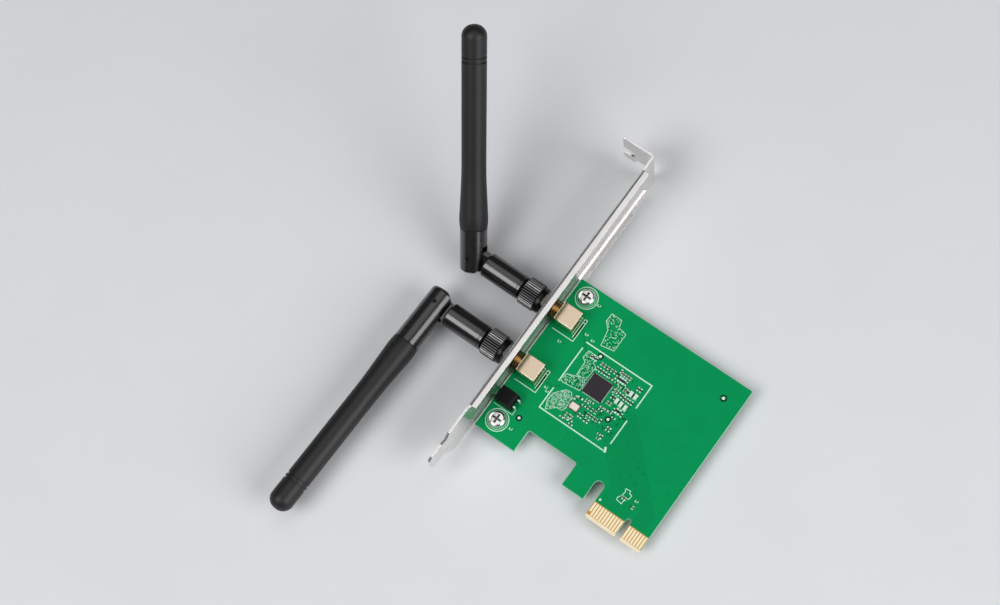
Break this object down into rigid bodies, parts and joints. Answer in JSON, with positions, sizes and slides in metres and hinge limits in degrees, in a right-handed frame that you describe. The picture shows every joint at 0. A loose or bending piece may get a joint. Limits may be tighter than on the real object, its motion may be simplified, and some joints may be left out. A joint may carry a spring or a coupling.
{
  "type": "wireless network card",
  "caption": "Expansion card with a folded metal bracket, edge contacts, threaded antenna jacks and swivelling antennas that fold at the elbow.",
  "frame": {"origin": "centre of the key slot, on the end of the contact tongue, halfway through the board", "axes": "+X from the bracket to the far end of the board, +Y from the contacts to the board's top edge, +Z out of the component side, which lies upward"},
  "size_m": [0.1302, 0.1583, 0.0592],
  "materials": {
    "solder_mask": "green solder mask over glass epoxy",
    "gold": "hard gold plating",
    "bracket_steel": "bright nickel-plated sheet steel",
    "screw_steel": "zinc-plated steel",
    "jack_brass": "gold-plated brass",
    "white_insulator": "fluoropolymer",
    "hardware_nickel": "nickel-plated",
    "solder": "bright tin solder",
    "holder_black": "satin black moulding",
    "lamp_green": "green tinted epoxy lens",
    "chip_black": "mould compound",
    "crystal_ceramic": "fired ceramic",
    "crystal_metal": "nickel-plated lid",
    "capacitor_ceramic": "tan ceramic",
    "resistor_black": "glazed black film",
    "inductor_ceramic": "pale ceramic",
    "nut_black": "black-plated brass",
    "antenna_gloss": "glossy black moulding",
    "antenna_satin": "satin black sleeve",
    "feed_grey": "coaxial cable jacket",
    "radiator_brass": "plain brass tube",
    "pin_steel": "black oxide steel pin",
    "print_ink": "cream printing ink"
  },
  "bodies": {
    "card": {"circuit_board": "solder_mask", "front_contacts": "gold", "rear_contacts": "gold", "bracket": "bracket_steel", "bracket_screws": "screw_steel", "upper_jack": "jack_brass", "lower_jack": "jack_brass", "jack_insulators": "white_insulator", "jack_pins": "gold", "lock_washers": "hardware_nickel", "jack_nuts": "hardware_nickel", "solder_joints": "solder", "led_holder": "holder_black", "led_lamp": "lamp_green", "led_leads": "solder", "radio_chip": "chip_black", "chip_joints": "solder", "crystal_case": "crystal_ceramic", "crystal_lid": "crystal_metal", "capacitors": "capacitor_ceramic", "resistors": "resistor_black", "inductors": "inductor_ceramic", "part_ends": "solder", "shield_tracks": "solder"},
    "upper_nut": {"upper_coupling_nut": "nut_black"},
    "upper_base": {"upper_base": "antenna_gloss", "upper_ferrule": "hardware_nickel", "upper_plug_insulator": "white_insulator", "upper_plug_contact": "gold", "upper_base_feed": "feed_grey"},
    "upper_mast": {"upper_arm": "antenna_gloss", "upper_hinge_pin": "pin_steel", "upper_sleeve": "antenna_satin", "upper_radiator": "radiator_brass", "upper_mast_feed": "feed_grey"},
    "lower_nut": {"lower_coupling_nut": "nut_black"},
    "lower_base": {"lower_base": "antenna_gloss", "lower_ferrule": "hardware_nickel", "lower_plug_insulator": "white_insulator", "lower_plug_contact": "gold", "lower_base_feed": "feed_grey"},
    "lower_mast": {"lower_arm": "antenna_gloss", "lower_hinge_pin": "pin_steel", "lower_sleeve": "antenna_satin", "lower_radiator": "radiator_brass", "lower_mast_feed": "feed_grey"}
  },
  "joints": [
    {"name": "upper_nut_turn", "type": "hinge", "parent": "card", "child": "upper_nut", "pos_m": [-0.06541, 0.0482, 0.00409], "axis": [1, 0, 0], "continuous": true},
    {"name": "upper_swivel", "type": "hinge", "parent": "card", "child": "upper_base", "pos_m": [-0.07, 0.0482, 0.00409], "axis": [1, 0, 0], "range_deg": [-135, 45]},
    {"name": "upper_tilt", "type": "hinge", "parent": "upper_base", "child": "upper_mast", "pos_m": [-0.08931, 0.0482, 0.00409], "axis": [0, 0.7071, -0.7071], "range_deg": [-66.4, 23.6]},
    {"name": "lower_nut_turn", "type": "hinge", "parent": "card", "child": "lower_nut", "pos_m": [-0.06541, 0.02788, 0.00409], "axis": [1, 0, 0], "continuous": true},
    {"name": "lower_swivel", "type": "hinge", "parent": "card", "child": "lower_base", "pos_m": [-0.07, 0.02788, 0.00409], "axis": [1, 0, 0], "range_deg": [-90, 90]},
    {"name": "lower_tilt", "type": "hinge", "parent": "lower_base", "child": "lower_mast", "pos_m": [-0.08931, 0.02788, 0.00409], "axis": [0, 0, 1], "range_deg": [-88.6, 1.4]}
  ]
}
